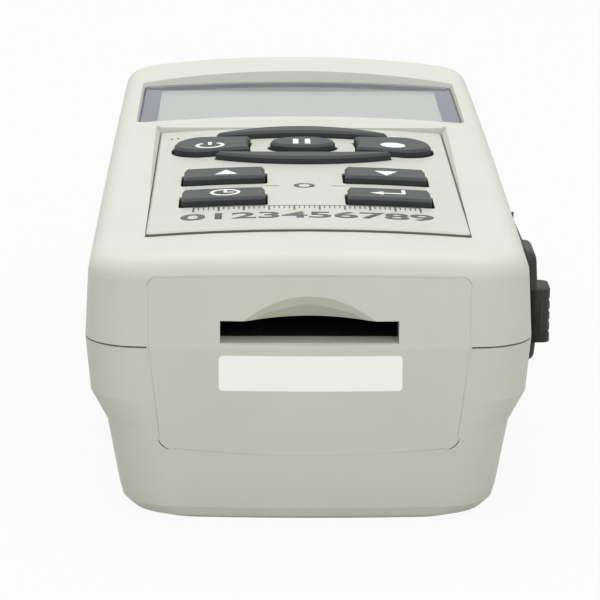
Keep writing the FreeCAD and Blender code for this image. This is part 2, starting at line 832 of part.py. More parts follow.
def lower_case():
    bay_top_z = bay_roof_z + bay_wall
    solid = [middle_box(side_reach, bay_near_y - bay_wall, bay_far_y + bay_wall, 0, bay_top_z),
             middle_box(stand_half_width + stand_block, stand_near_y - stand_block,
                        stand_axis_y + stand_barrel_r + stand_block, 0,
                        stand_axis_z + stand_barrel_r + stand_gap + stand_roof),
             post(0, cover_screw_y, cover_boss_half, 0, cover_screw_length + bay_wall),
             post(0, tripod_y, tripod_outer_r + tripod_boss, 0, tripod_length + tripod_boss)]
    solid += [post(x, y, case_boss_half, 0, parting_z) for x, y in case_screw_places]
    solid += [post(side * card_post_x, y, card_post_half, 0, card_board_low_z) for side in (-1, 1)
              for y in (card_board_near_y + card_post_inset, card_board_far_y - card_post_inset)]
    shell = lower_outer.cut(lower_cavity().cut(solid))
    cuts = [middle_box(bay_half_width, bay_near_y, bay_far_y, bay_floor_z, bay_roof_z),
            middle_box(cover_half_width - cover_ledge, bay_near_y + cover_ledge, bay_far_y - cover_ledge,
                       0, bay_floor_z + 1),
            battery_cover_prism(cover_gap, -1, cover_thickness),
            middle_box(cover_hook_half + cover_hook_slack, bay_near_y - cover_hook - cover_hook_slack,
                       bay_near_y + cover_hook_root, cover_thickness - 1, bay_floor_z + cover_hook_slack),
            stand_pocket(), stand_pin_rod(stand_pin_r),
            rod(finger_r, finger_depth + 1, V(0, stand_near_y - stand_gap, -1), UP),
            rod(tripod_outer_r, tripod_length + tripod_recess, V(0, tripod_y, 0), UP),
            rod(cover_screw_r, cover_screw_length + cover_screw_sink, V(0, cover_screw_y, 0), UP),
            box(-side_reach, side_reach, near_y - 1, far_y + 1, parting_z - parting_gap / 2, parting_z + 1),
            jack_opening(), plate_prism(plate_gap)]
    head_z = case_screw_sink + case_screw_head
    for x, y in case_screw_places:
        cuts.append(rod(case_screw_r + case_screw_slack, parting_z, V(x, y, 0), UP))
        cuts.append(rod(case_screw_head_r + case_screw_slack, head_z + 1, V(x, y, -1), UP))
    shell = shell.cut(cuts + port_holes())
    ring = tongue_ring(0, wall - tongue_clearance).cut([plate_prism(plate_gap), jack_opening()] + port_holes())
    return shell.fuse(ring).removeSplitter()


def end_plate():
    """Plate in the near end: the case's own surface, a flat-backed flange, the slot and its scoop."""
    near_end = middle_box(side_reach, near_y - 1, near_y + 2 * wall + 1, 0, case_height)
    behind = middle_box(side_reach, near_y - 1, near_y + plate_back, 0, plate_top_z - plate_flange / 3)
    inner = upper_cavity().fuse(lower_cavity())
    face = upper_form(parting_z).fuse(lower_outer).cut(inner).common(near_end).common(plate_prism(0))
    plate = face.fuse(inner.common(behind).common(plate_prism(plate_flange)))
    start = near_y - cut_over
    slot = Part.Face(Part.Wire([
        arc(V(scoop_half_width, start, slot_top_z), V(0, start, slot_top_z + slot_arch),
            V(-scoop_half_width, start, slot_top_z))]
        + Part.makePolygon([V(-scoop_half_width, start, slot_top_z), V(-slot_half_width, start, slot_top_z),
                            V(-slot_half_width, start, slot_bottom_z), V(slot_half_width, start, slot_bottom_z),
                            V(slot_half_width, start, slot_top_z),
                            V(scoop_half_width, start, slot_top_z)]).Edges))
    slot = slot.extrude(V(0, plate_back + 2 * cut_over, 0))
    fall = V(0, scoop_depth, -scoop_rise)
    ends = [V(side * scoop_half_width, near_y, slot_top_z + scoop_rise) - fall / 2 for side in (-1, 1)]
    crest = V(0, near_y, slot_top_z + 2 * scoop_rise) - fall / 2
    ends = [place - V(0, 0, scoop_rise) for place in ends]
    crest = crest - V(0, 0, scoop_rise)
    scoop = Part.Face(Part.Wire([arc(ends[0], crest, ends[1]), Part.makeLine(ends[1], ends[0])]))
    scoop = scoop.extrude(fall * 1.5)
    lip = sheet([V(-slot_half_width, near_y - 1, slot_bottom_z - slot_lip),
                 V(-slot_half_width, near_y + slot_lip, slot_bottom_z),
                 V(-slot_half_width, near_y - 1, slot_bottom_z)]).extrude(V(2 * slot_half_width, 0, 0))
    return plate.cut([slot, scoop, lip]).removeSplitter()


# Screws, boards and the card socket
def screw(head_r, head, thread_r, length, x, y, z):
    """Screw that points up, with its head's outer face at a height."""
    return rod(head_r, head, V(x, y, z), UP).fuse(rod(thread_r, length, V(x, y, z), UP)).removeSplitter()


def board_screws():
    return Part.makeCompound([screw(board_screw_head_r, board_screw_head, board_screw_r,
                                    board_screw_head + board_screw_length - mat_slack, x, y,
                                    board_bottom_z - board_screw_head) for x, y in board_screw_places])


def case_screws():
    return Part.makeCompound([screw(case_screw_head_r, case_screw_head, case_screw_r, case_screw_length,
                                    x, y, case_screw_sink) for x, y in case_screw_places])


def main_board():
    board = middle_box(board_half_width, board_near_y, board_far_y, board_bottom_z, board_top_z)
    return board.cut([rod(board_screw_r + board_hole_slack, board_thickness + 2, V(x, y, board_bottom_z - 1), UP)
                      for x, y in board_screw_places])


def card_socket():
    body = middle_box(slot_half_width + socket_wall, socket_near_y, socket_near_y + socket_length,
                      card_board_top_z, slot_top_z + socket_wall)
    return body.cut(middle_box(slot_half_width, socket_near_y - 1, socket_near_y + socket_length - socket_back,
                               slot_bottom_z, slot_top_z))


def card_board():
    return middle_box(card_board_half_width, card_board_near_y, card_board_far_y, card_board_low_z,
                      card_board_top_z)


def board_connector():
    far = card_board_far_y - connector_inset
    return middle_box(connector_half_width, far - connector_length, far, card_board_top_z, board_bottom_z)


# Battery bay
def cell_y(index):
    return bay_near_y + cell_floor_gap + cell_pitch * (index + 0.5)


def cell_way(index):
    """Side that a cell's nub points to; neighbours point opposite ways."""
    return 1 if index % 2 == 0 else -1


def aa_cell(index):
    way = cell_way(index)
    can = rod(cell_r, cell_length, V(-cell_length / 2, cell_y(index), cell_axis_z), RIGHT)
    return can.fuse(rod(cell_nub_r, cell_nub, V(way * cell_length / 2, cell_y(index), cell_axis_z), RIGHT * way))


def battery_contacts():
    """Bent spring strips on the bay's two end walls, one for each end of each cell."""
    strips = []
    for index in range(cell_count):
        y = cell_y(index) - contact_width / 2
        for side in (1, -1):
            tip = side * (cell_length / 2 + (cell_nub if side == cell_way(index) else 0) + contact_gap)
            foot = side * bay_half_width
            thick = side * contact_thickness
            front = [V(foot, y, cell_axis_z - contact_half_height), V(tip, y, cell_axis_z - contact_face_half),
                     V(tip, y, cell_axis_z + contact_face_half), V(foot, y, cell_axis_z + contact_half_height)]
            back = [V(foot, y, cell_axis_z + contact_half_height - contact_thickness * 2),
                    V(tip + thick, y, cell_axis_z + contact_face_half - contact_thickness / 2),
                    V(tip + thick, y, cell_axis_z - contact_face_half + contact_thickness / 2),
                    V(foot, y, cell_axis_z - contact_half_height + contact_thickness * 2)]
            strips.append(sheet(front + back).extrude(V(0, contact_width, 0)))
    return Part.makeCompound(strips)


def battery_cover():
    """Lid with a hook at its near end, thumb grooves and a screw at its tail."""
    cover = battery_cover_prism(0, 0, cover_thickness)
    hook = middle_box(cover_hook_half, bay_near_y - cover_hook, bay_near_y + cover_hook_root,
                      cover_thickness, bay_floor_z)
    start = cover_far_y - grip_groove_inset
    cuts = [middle_box(grip_groove_half, start + grip_groove_pitch * i,
                       start + grip_groove_pitch * i + grip_groove_width, -1, grip_groove_depth)
            for i in range(grip_groove_count)]
    cuts.append(rod(cover_screw_head_r + cover_gap, cover_screw_sink + cover_screw_head + 1,
                    V(0, cover_screw_y, -1), UP))
    cuts.append(rod(cover_screw_r + cover_gap, cover_thickness + 1, V(0, cover_screw_y, 0), UP))
    return cover.fuse(hook).cut(cuts).removeSplitter()


def battery_cover_screw():
    return screw(cover_screw_head_r, cover_screw_head, cover_screw_r, cover_screw_length, 0, cover_screw_y,
                 cover_screw_sink)


# Stand and tripod insert
def stand():
    top_z = stand_lift + stand_thickness
    plate = middle_box(stand_half_width, stand_near_y, stand_axis_y, stand_lift, top_z)
    plate = plate.makeFillet(stand_corner_r, edges_along(plate, UP, lambda place: place.y < stand_near_y + 1))
    barrel = rod(stand_barrel_r, 2 * stand_half_width, V(-stand_half_width, stand_axis_y, stand_axis_z), RIGHT)
    ribs = [box(x - stand_rib_half, x + stand_rib_half, stand_near_y + stand_rib_inset, stand_axis_y,
                top_z, top_z + stand_rib_height) for x in (-stand_rib_x, 0, stand_rib_x)]
    notch = rod(stand_notch_r, stand_thickness + 2, V(0, stand_near_y, stand_lift - 1), UP)
    return plate.fuse([barrel] + ribs).cut([stand_pin_rod(stand_pin_r + stand_pin_clearance), notch]).removeSplitter()


def tripod_insert():
    body = rod(tripod_outer_r, tripod_length, V(0, tripod_y, tripod_recess), UP)
    return body.cut(rod(tripod_thread_r, tripod_depth + 1, V(0, tripod_y, tripod_recess - 1), UP))


# Hose ports and the sensor that they feed
def port(x):
    """Barbed hose port turned in one piece, from its tail inside the case to its open tip."""
    flange = port_seat_y + port_flange_thickness
    barbs = flange + port_neck
    body_end = port_seat_y - port_body_length
    profile = [(port_bore_r, body_end - port_tail), (port_tube_r, body_end - port_tail), (port_tube_r, body_end),
               (port_body_r, body_end), (port_body_r, port_seat_y), (port_flange_r, port_seat_y),
               (port_flange_r, flange), (port_tube_r, flange)]
    for index in range(port_barbs):
        start = barbs + index * port_barb_pitch
        profile += [(port_tube_r, start), (port_barb_r, start + port_barb_back)]
    tip = barbs + port_barbs_length
    profile += [(port_tube_r, tip), (port_bore_r, tip)]
    turned = sheet([V(r, y, 0) for r, y in profile]).revolve(V(0, 0, 0), AWAY, 360)
    turned.translate(V(x, 0, port_z))
    return turned


def port_nuts():
    nuts = []
    for x in (-port_x, port_x):
        corners = []
        for turn in range(6):
            angle = math.radians(60 * turn)
            corners.append(V(x + port_nut_r * math.cos(angle), port_pad_y - port_nut_thickness,
                             port_z + port_nut_r * math.sin(angle)))
        nut = sheet(corners).extrude(V(0, port_nut_thickness, 0))
        nuts.append(nut.cut(rod(port_body_r, port_nut_thickness + 2,
                                V(x, port_pad_y - port_nut_thickness - 1, port_z), AWAY)))
    return Part.makeCompound(nuts)


def pressure_sensor():
    body = middle_box(sensor_half_width, sensor_far_y - sensor_length, sensor_far_y,
                      port_z - sensor_below_stem, board_bottom_z)
    return body.fuse([rod(port_tube_r, sensor_stem, V(x, sensor_far_y, port_z), AWAY) for x in (-port_x, port_x)])


def inner_tube(x):
    """Soft tube from the sensor's stem to the port's tail, pushed over both."""
    start = sensor_far_y + tube_overlap
    length = port_seat_y - port_body_length - tube_overlap - start
    tube = rod(port_tube_r + tube_wall, length, V(x, start, port_z), AWAY)
    return tube.cut(rod(port_tube_r, length + 2, V(x, start - 1, port_z), AWAY))


# Side cover and what it protects
def side_x(z):
    """Half width of the case at a height between its shoulder and its top edge."""
    if z > parting_z:
        return case_half_width - upper_narrowing(z)
    return case_half_width - shoulder_top[1] * (parting_z - z) / (parting_z - shoulder_top[0])


def side_skin(y0, y1, above_jacks, thickness):
    """Skin that follows the case's side between two places along it."""
    heights = [jack_z - cover_below_jacks, parting_z, jack_z + above_jacks]
    inner = [V(side_x(z) + cover_air, y0, z) for z in heights]
    outer = [point + RIGHT * thickness for point in reversed(inner)]
    return sheet(inner + outer).extrude(V(0, y1 - y0, 0))


def side_cover():
    """Soft cover with a thick lip and a ribbed grip at its free end, a plug behind and a bead to turn on."""
    low_z = jack_z - cover_below_jacks
    lip_far_y = cover_near_y + cover_lip_length
    skin = side_skin(lip_far_y - cover_round_r, hinge_y, cover_above_jacks, cover_skin)
    lip = side_skin(cover_near_y, lip_far_y, cover_lip_above_jacks, cover_lip_skin)
    lip = lip.makeFillet(cover_round_r, edges_along(lip, RIGHT, lambda place: place.y < cover_near_y + 1))
    outer_edges = edges_along(lip, AWAY, lambda place: place.x > side_x(place.z) + cover_lip_skin
                              and abs(place.z - parting_z) > 1)
    lip = lip.makeFillet(cover_lip_round_r, outer_edges)
    bead = rod(hinge_bead_r, cover_below_jacks + cover_above_jacks, V(hinge_x, hinge_y, low_z), UP)
    grip_low_z = jack_z - grip_below_jacks
    grip_high_z = jack_z + grip_above_jacks
    grip_x = case_half_width + grip_reach
    seat_x = case_half_width + cover_air + cover_skin / 2
    grip = box(seat_x, grip_x, cover_near_y, cover_near_y + grip_length, grip_low_z, grip_high_z)
    grip = grip.makeFillet(grip_round_r, edges_along(grip, UP, lambda place: place.x > seat_x + 1))
    pitch = (grip_high_z - grip_low_z) / (grip_ribs + 1)
    grooves = []
    for rib in range(grip_ribs):
        z = grip_low_z + pitch * (rib + 1)
        groove = sheet([V(grip_x - grip_rib_depth, cover_near_y - 1, z),
                        V(grip_x + 1, cover_near_y - 1, z - grip_rib_depth - 1),
                        V(grip_x + 1, cover_near_y - 1, z + grip_rib_depth + 1)])
        grooves.append(groove.extrude(V(0, grip_length + 2, 0)))
    plug = box(case_half_width - plug_depth, seat_x, window_near_y + plug_gap, window_far_y - plug_gap,
               jack_z - jack_window_half + plug_gap, jack_z + jack_window_half - plug_gap)
    rim = plug_gap + plug_wall
    hollow = box(case_half_width - plug_depth - 1, case_half_width - cover_air, window_near_y + rim,
                 window_far_y - rim, jack_z - jack_window_half + rim, jack_z + jack_window_half - rim)
    return skin.fuse([lip, bead, grip.cut(grooves), plug]).cut(hollow).removeSplitter()


def cover_anchor():
    start = hinge_y + hinge_bead_r + hinge_gap
    return side_skin(start, start + anchor_length, cover_above_jacks, cover_skin)


def jack_board():
    return box(jack_board_x, jack_board_x + jack_board_thickness, window_near_y - jack_board_margin,
               window_far_y + jack_board_margin, bay_roof_z + bay_wall, jack_z + jack_window_half + 1)


def jack(from_hinge, half, hole_r, pin_r):
    """Square socket on the jack board, with a centre pin where the plug is hollow."""
    y = hinge_y - from_hinge
    body = box(jack_board_x + jack_board_thickness, jack_face_x, y - half, y + half, jack_z - half, jack_z + half)
    body = body.cut(rod(hole_r, jack_hole_depth + 1, V(jack_face_x - jack_hole_depth, y, jack_z), RIGHT))
    if pin_r:
        pin = rod(pin_r, jack_hole_depth, V(jack_face_x - jack_hole_depth - cover_air, y, jack_z), RIGHT)
        body = body.fuse(pin)
    return body


def reset_switch():
    body = box(jack_board_x + jack_board_thickness, jack_face_x - reset_inset, reset_y - reset_half,
               reset_y + reset_half, jack_z - reset_half, jack_z + reset_half)
    start = jack_face_x - jack_hole_depth
    return body.cut(rod(reset_r + reset_clearance, jack_hole_depth, V(start, reset_y, jack_z), RIGHT))


def reset_button():
    start = jack_face_x - jack_hole_depth + reset_travel + contact_gap
    return rod(reset_r, reset_length, V(start, reset_y, jack_z), RIGHT)


nodes = {
    "upper_case": upper_case(),
    "lower_case": lower_case(),
    "end_plate": end_plate(),
    "keypad_plate": keypad_plate(),
    "keypad_mat": keypad_mat(),
    "display_lens": display_lens(),
    "lcd_glass": lcd_room(lcd_slack, 0),
    "lcd_frame": lcd_frame(),
    "main_board": main_board(),
    "controller_chip": box(-chip_half, chip_half, chip_y - chip_half, chip_y + chip_half,
                           board_bottom_z - chip_thickness, board_bottom_z),
    "buzzer": rod(buzzer_r, buzzer_height, V(*buzzer_place, board_bottom_z - buzzer_height), UP),
    "coin_cell": rod(coin_r, coin_height, V(*coin_place, board_bottom_z - coin_height), UP),
    "board_screws": board_screws(),
    "case_screws": case_screws(),
    "card_board": card_board(),
    "card_socket": card_socket(),
    "board_connector": board_connector(),
    "battery_contacts": battery_contacts(),
    "battery_cover": battery_cover(),
    "battery_cover_screw": battery_cover_screw(),
    "stand": stand(),
    "stand_pin": stand_pin_rod(stand_pin_r),
    "tripod_insert": tripod_insert(),
    "port_high": port(port_x),
    "port_low": port(-port_x),
    "port_nuts": port_nuts(),
    "pressure_sensor": pressure_sensor(),
    "inner_tube_high": inner_tube(port_x),
    "inner_tube_low": inner_tube(-port_x),
    "side_cover": side_cover(),
    "cover_anchor": cover_anchor(),
    "jack_board": jack_board(),
    "dc_jack": jack(dc_jack_from_hinge, dc_jack_half, dc_jack_hole_r, dc_jack_pin_r),
    "serial_jack": jack(serial_jack_from_hinge, serial_jack_half, serial_jack_hole_r, 0),
    "reset_switch": reset_switch(),
    "reset_button": reset_button(),
}
for name in key_outlines:
    nodes[name] = key(name)
for index in range(cell_count):
    nodes["aa_cell_%d" % (index + 1)] = aa_cell(index)

os.makedirs("parts", exist_ok=True)
for name, shape in nodes.items():
    shape.exportStep("parts/%s.step" % name)
    print(name, "solids", len(shape.Solids), "valid", shape.isValid(), "volume %.1f" % shape.Volume)
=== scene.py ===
import bmesh
import bpy
import math
from mathutils import Matrix, Vector
from mathutils.bvhtree import BVHTree


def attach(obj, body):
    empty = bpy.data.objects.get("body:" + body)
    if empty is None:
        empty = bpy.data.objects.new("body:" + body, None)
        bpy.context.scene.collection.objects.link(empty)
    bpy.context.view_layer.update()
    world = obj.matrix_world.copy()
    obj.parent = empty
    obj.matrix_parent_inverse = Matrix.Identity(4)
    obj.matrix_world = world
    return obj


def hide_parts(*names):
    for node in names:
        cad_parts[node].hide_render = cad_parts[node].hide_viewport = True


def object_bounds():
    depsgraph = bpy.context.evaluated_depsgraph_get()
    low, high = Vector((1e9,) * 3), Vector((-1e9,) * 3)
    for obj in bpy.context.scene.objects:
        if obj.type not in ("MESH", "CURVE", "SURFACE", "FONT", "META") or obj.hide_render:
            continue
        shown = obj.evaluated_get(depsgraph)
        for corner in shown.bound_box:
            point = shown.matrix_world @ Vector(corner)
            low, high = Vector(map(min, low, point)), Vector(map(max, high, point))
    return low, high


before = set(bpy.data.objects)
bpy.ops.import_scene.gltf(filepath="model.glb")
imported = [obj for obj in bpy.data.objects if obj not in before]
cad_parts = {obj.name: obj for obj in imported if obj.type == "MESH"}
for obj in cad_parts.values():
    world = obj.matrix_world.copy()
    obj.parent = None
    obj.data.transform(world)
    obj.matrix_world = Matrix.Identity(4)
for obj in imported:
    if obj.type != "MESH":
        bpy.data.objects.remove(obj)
cad_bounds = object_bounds()


# Camera
# A long lens faces the end with the card slot, a little above it and a touch to its left,
# so that the near end fills the lower half of the picture and the display lies far back.
MM = 0.001
camera = bpy.data.objects.new("camera", bpy.data.cameras.new("camera"))
camera.data.sensor_width = 36
camera.data.lens = 199.4
camera.data.clip_start = 0.05
camera.data.clip_end = 20
look_down = math.radians(13.223)
look_right = math.radians(0.816)
lean = math.radians(0.297)
eye = Vector((-8.945, -612.242, 159.141)) * MM
camera.matrix_world = (Matrix.Translation(eye)
                       @ Matrix.Rotation(-look_right, 4, "Z")
                       @ Matrix.Rotation(math.pi / 2 - look_down, 4, "X")
                       @ Matrix.Rotation(lean, 4, "Z"))
bpy.context.scene.collection.objects.link(camera)
bpy.context.scene.camera = camera
bpy.context.scene.view_settings.view_transform = "Standard"


# Floor and light
# A white card under the meter, and two soft boxes, one overhead and one in front. The card and
# the room look white to the lens and still take the meter's shadow. From below the card is clear.
class Wire:
    """One output of a node. Arithmetic on it adds Math nodes."""

    def __init__(self, finish, socket):
        self.finish = finish
        self.socket = socket

    def math(self, operation, *values):
        return self.finish.node("ShaderNodeMath", {"operation": operation}, dict(enumerate(values)))

    def __add__(self, other):
        return self.math("ADD", self, other)

    def __radd__(self, other):
        return self.math("ADD", other, self)

    def __sub__(self, other):
        return self.math("SUBTRACT", self, other)

    def __rsub__(self, other):
        return self.math("SUBTRACT", other, self)

    def __mul__(self, other):
        return self.math("MULTIPLY", self, other)

    def __rmul__(self, other):
        return self.math("MULTIPLY", other, self)

    def __pow__(self, other):
        return self.math("POWER", self, other)

    def __abs__(self):
        return self.math("ABSOLUTE", self)

    def __gt__(self, other):
        return self.math("GREATER_THAN", self, other)

    def __lt__(self, other):
        return self.math("LESS_THAN", self, other)

    def sine(self):
        return self.math("SINE", self)

    def clipped(self):
        return self.math("MINIMUM", self.math("MAXIMUM", self, 0.0), 1.0)


class Finish:
    """A node tree under way, for a material or the room."""

    def __init__(self, tree):
        self.tree = tree
        tree.nodes.clear()

    def node(self, kind, settings, sockets, out=0):
        """Adds a node. Its settings go in first, then the values or wires of its sockets."""
        made = self.tree.nodes.new(kind)
        for key, value in settings.items():
            setattr(made, key, value)
        for key, value in sockets.items():
            socket = made.inputs[key]
            if isinstance(value, Wire):
                self.tree.links.new(value.socket, socket)
            elif socket.type == "RGBA" and len(value) == 3:
                socket.default_value = (*value, 1)
            else:
                socket.default_value = value
        return Wire(self, made.outputs[out]) if made.outputs else None

    def shown(self):
        """1 for what the lens sees, straight, in a gloss or through a clear part, and 0 for the rest."""
        kinds = ("Is Camera Ray", "Is Glossy Ray", "Is Transmission Ray")
        seen, mirrored, through = [self.node("ShaderNodeLightPath", {}, {}, out=kind) for kind in kinds]
        return (seen + mirrored + through).clipped()


room = bpy.data.worlds.new("room")
bpy.context.scene.world = room
room.use_nodes = True
tree = Finish(room.node_tree)
lit = tree.node("ShaderNodeBackground", {}, {"Color": (1.0, 1.0, 0.97), "Strength": 0.6})
white = tree.node("ShaderNodeBackground", {}, {"Color": (1.0, 1.0, 1.0), "Strength": 1.0})
either = tree.node("ShaderNodeMixShader", {}, {0: tree.shown(), 1: lit, 2: white})
tree.node("ShaderNodeOutputWorld", {}, {"Surface": either})

card_half = 3.0
card_gap = 0.02 * MM
card_whiteness = 0.93
shape = bmesh.new()
bmesh.ops.create_grid(shape, x_segments=1, y_segments=1, size=card_half)
bmesh.ops.translate(shape, verts=shape.verts, vec=(0, 0, cad_bounds[0][2] - card_gap))
floor = bpy.data.objects.new("floor", bpy.data.meshes.new("floor"))
shape.to_mesh(floor.data)
shape.free()
bpy.context.scene.collection.objects.link(floor)
card = bpy.data.materials.new("white_card")
card.use_nodes = True
tree = Finish(card.node_tree)
paper = tree.node("ShaderNodeBsdfDiffuse", {}, {"Color": (0.5, 0.5, 0.48)})
glow = tree.node("ShaderNodeEmission", {}, {"Color": (1.0, 1.0, 1.0), "Strength": 1.0})
either = tree.node("ShaderNodeMixShader", {}, {0: tree.shown() * card_whiteness, 1: paper, 2: glow})
clear = tree.node("ShaderNodeBsdfTransparent", {}, {})
below = tree.node("ShaderNodeNewGeometry", {}, {}, out="Backfacing")
one_sided = tree.node("ShaderNodeMixShader", {}, {0: below, 1: either, 2: clear})
tree.node("ShaderNodeOutputMaterial", {}, {"Surface": one_sided})
floor.data.materials.append(card)

for name, spot, aim, size, power, colour in (
        ("overhead", (-0.1, 0.3, 1.3), (0, 0, 0), 1.5, 13.2, (0.98, 0.98, 1.0)),
        ("front", (0.2, -1.6, 0.8), (0, 0, 0.03), 1.2, 10.0, (1.0, 1.0, 0.97))):
    lamp = bpy.data.objects.new(name, bpy.data.lights.new(name, "AREA"))
    lamp.data.size = size
    lamp.data.energy = power
    lamp.data.color = colour
    lamp.location = spot
    lamp.rotation_euler = (Vector(aim) - Vector(spot)).to_track_quat("-Z", "Y").to_euler()
    bpy.context.scene.collection.objects.link(lamp)


# Case halves
# Two pale grey ABS mouldings that meet along a level seam, with the end plate, battery cover and
# stand of the same stuff. Their skin has the fine matte grain of a spark-eroded mould.
def tone(red, green, blue):
    """A colour from its parts as a picture gives them, from 0 to 255."""
    return tuple(((part / 255 + 0.055) / 1.055) ** 2.4 for part in (red, green, blue))


def place(tree, axis):
    """A coordinate on the object, in millimetres."""
    here = tree.node("ShaderNodeTexCoord", {}, {}, out="Object")
    return tree.node("ShaderNodeSeparateXYZ", {}, {"Vector": here}, out=axis) * (1 / MM)


def grain(tree, size_mm, detail=3.0, squeeze=(1, 1, 1)):
    """Noise from 0 to 1, with lumps of a size in millimetres that is divided by the squeeze."""
    here = tree.node("ShaderNodeTexCoord", {}, {}, out="Object")
    here = tree.node("ShaderNodeMapping", {}, {"Vector": here, "Scale": squeeze})
    return tree.node("ShaderNodeTexNoise", {},
                     {"Vector": here, "Scale": 1 / (size_mm * MM), "Detail": detail})


def blend(tree, amount, first, second):
    """A colour between two colours."""
    return tree.node("ShaderNodeMix", {"data_type": "RGBA"}, {0: amount, 6: first, 7: second}, out=2)


def bumps(tree, height, depth_mm):
    """The normal of a skin with a height from 0 to 1 and a depth in millimetres."""
    return tree.node("ShaderNodeBump", {}, {"Height": height, "Strength": 1.0, "Distance": depth_mm * MM})


def material(name, skin):
    """A material whose function gives the sockets of one Principled shader."""
    made = bpy.data.materials.new(name)
    made.use_nodes = True
    tree = Finish(made.node_tree)
    shader = tree.node("ShaderNodeBsdfPrincipled", {}, skin(tree))
    tree.node("ShaderNodeOutputMaterial", {}, {"Surface": shader})
    return made


def dress(made, *names):
    """Gives CAD nodes a material."""
    for name in names:
        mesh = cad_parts[name].data
        mesh.materials.clear()
        mesh.materials.append(made)


def moulded(light, dark, grain_mm, depth_mm, rough):
    """The skin of a moulded plastic or rubber between two colours."""
    def skin(tree):
        fine = grain(tree, grain_mm)
        cloudy = grain(tree, 14.0, 2.0)
        return {"Base Color": blend(tree, cloudy, dark, light),
                "Roughness": rough + fine * 0.14,
                "Normal": bumps(tree, fine, depth_mm)}
    return skin


case_grey = material("case_grey", moulded(tone(205, 206, 198), tone(200, 201, 192), 0.35, 0.010, 0.42))
dress(case_grey, "upper_case", "lower_case", "battery_cover", "stand", "end_plate")


# Sticker
# A plain white paper label below the card slot, left blank, with rounded corners. It is stuck on
# the end plate and follows its slight bulge.
DOWN = Vector((0, 0, -1))
AWAY = Vector((0, 1, 0))
ray_start = 1.0
ink_thickness = 0.04 * MM
ink_sink = 0.01 * MM


def surface_of(node):
    """The surface of a CAD node, to find what a ray meets."""
    loose = bmesh.new()
    loose.from_mesh(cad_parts[node].data)
    surface = BVHTree.FromBMesh(loose)
    loose.free()
    return surface


def lay_on(shape, node, towards):
    """Moves a flat shape against a CAD node and keeps each vertex's own height over it."""
    surface = surface_of(node)
    for corner in shape.verts:
        height = -corner.co.dot(towards)
        start = corner.co - towards * (ray_start - height)
        hit = surface.ray_cast(start, towards)[0]
        if hit is None:
            raise ValueError("nothing of %s under a print at %s" % (node, corner.co))
        corner.co = hit - towards * (height - ink_sink)


def thicken(shape, thickness, towards):
    """Gives flat faces a thickness, away from what they are printed on."""
    grown = bmesh.ops.extrude_face_region(shape, geom=list(shape.faces), use_keep_orig=True)
    raised = [part for part in grown["geom"] if isinstance(part, bmesh.types.BMVert)]
    bmesh.ops.translate(shape, verts=raised, vec=-towards * thickness)
    bmesh.ops.recalc_face_normals(shape, faces=shape.faces)


def add_piece(name, shape, body, made):
    """Makes the finished piece of a shape, and says what carries it."""
    mesh = bpy.data.meshes.new(name)
    shape.to_mesh(mesh)
    shape.free()
    piece = bpy.data.objects.new(name, mesh)
    bpy.context.scene.collection.objects.link(piece)
    mesh.materials.append(made)
    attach(piece, body)
    return piece


def paper_skin(tree):
    fibres = grain(tree, 0.25, 4.0, (1, 1, 2.5))
    return {"Base Color": blend(tree, fibres, tone(250, 251, 248), tone(255, 255, 254)),
            "Roughness": 0.5 + fibres * 0.2,
            "Normal": bumps(tree, fibres, 0.006)}


sticker_paper = material("sticker_paper", paper_skin)
sticker_centre = (0.2, 25.25)
sticker_size = (29.6, 5.9)
sticker_corner = 0.6
sticker_thickness = 0.08 * MM
shape = bmesh.new()
bmesh.ops.create_grid(shape, x_segments=24, y_segments=6, size=0.5)
bmesh.ops.scale(shape, verts=shape.verts, vec=(sticker_size[0] * MM, sticker_size[1] * MM, 1))
corners = [corner for corner in shape.verts if len(corner.link_edges) == 2]
bmesh.ops.bevel(shape, geom=corners, affect="VERTICES", offset=sticker_corner * MM, segments=4, profile=0.5,
                material=-1)
bmesh.ops.rotate(shape, verts=shape.verts, cent=(0, 0, 0), matrix=Matrix.Rotation(math.pi / 2, 3, "X"))
bmesh.ops.translate(shape, verts=shape.verts, vec=(sticker_centre[0] * MM, 0, sticker_centre[1] * MM))
thicken(shape, sticker_thickness, AWAY)
lay_on(shape, "end_plate", AWAY)
add_piece("sticker", shape, "housing", sticker_paper)


# Scoop over the slot
# The shallow hollow for a fingertip over the card slot, moulded in the end plate. This thin, smooth
# face on the plate is coloured darker than the grained face round it, as painted shade in the hollow,
# and carries it up to the hollow's upper edge.
scoop_half = 10.65
scoop_foot_z = 33.93
scoop_arch = 0.7
scoop_top_z = 38.0
weld = 0.001 * MM
# A darker grey than the case: painted shade over the hollow.
scoop_painted_shade = material("scoop_painted_shade", moulded(tone(176, 180, 165), tone(172, 176, 160), 1.2, 0.002, 0.3))
shape = bmesh.new()
bmesh.ops.create_grid(shape, x_segments=40, y_segments=8, size=1.0)
for corner in shape.verts:
    across = corner.co.x
    up = (corner.co.y + 1) / 2
    swell = 1 - across ** 2
    low = scoop_foot_z + scoop_arch * swell
    rise = (scoop_top_z - scoop_foot_z - scoop_arch) * swell
    corner.co = Vector((across * scoop_half, 0, low + up * rise)) * MM
bmesh.ops.remove_doubles(shape, verts=shape.verts, dist=weld)
thicken(shape, ink_thickness, AWAY)
lay_on(shape, "end_plate", AWAY)
add_piece("scoop_shade_face", shape, "housing", scoop_painted_shade)


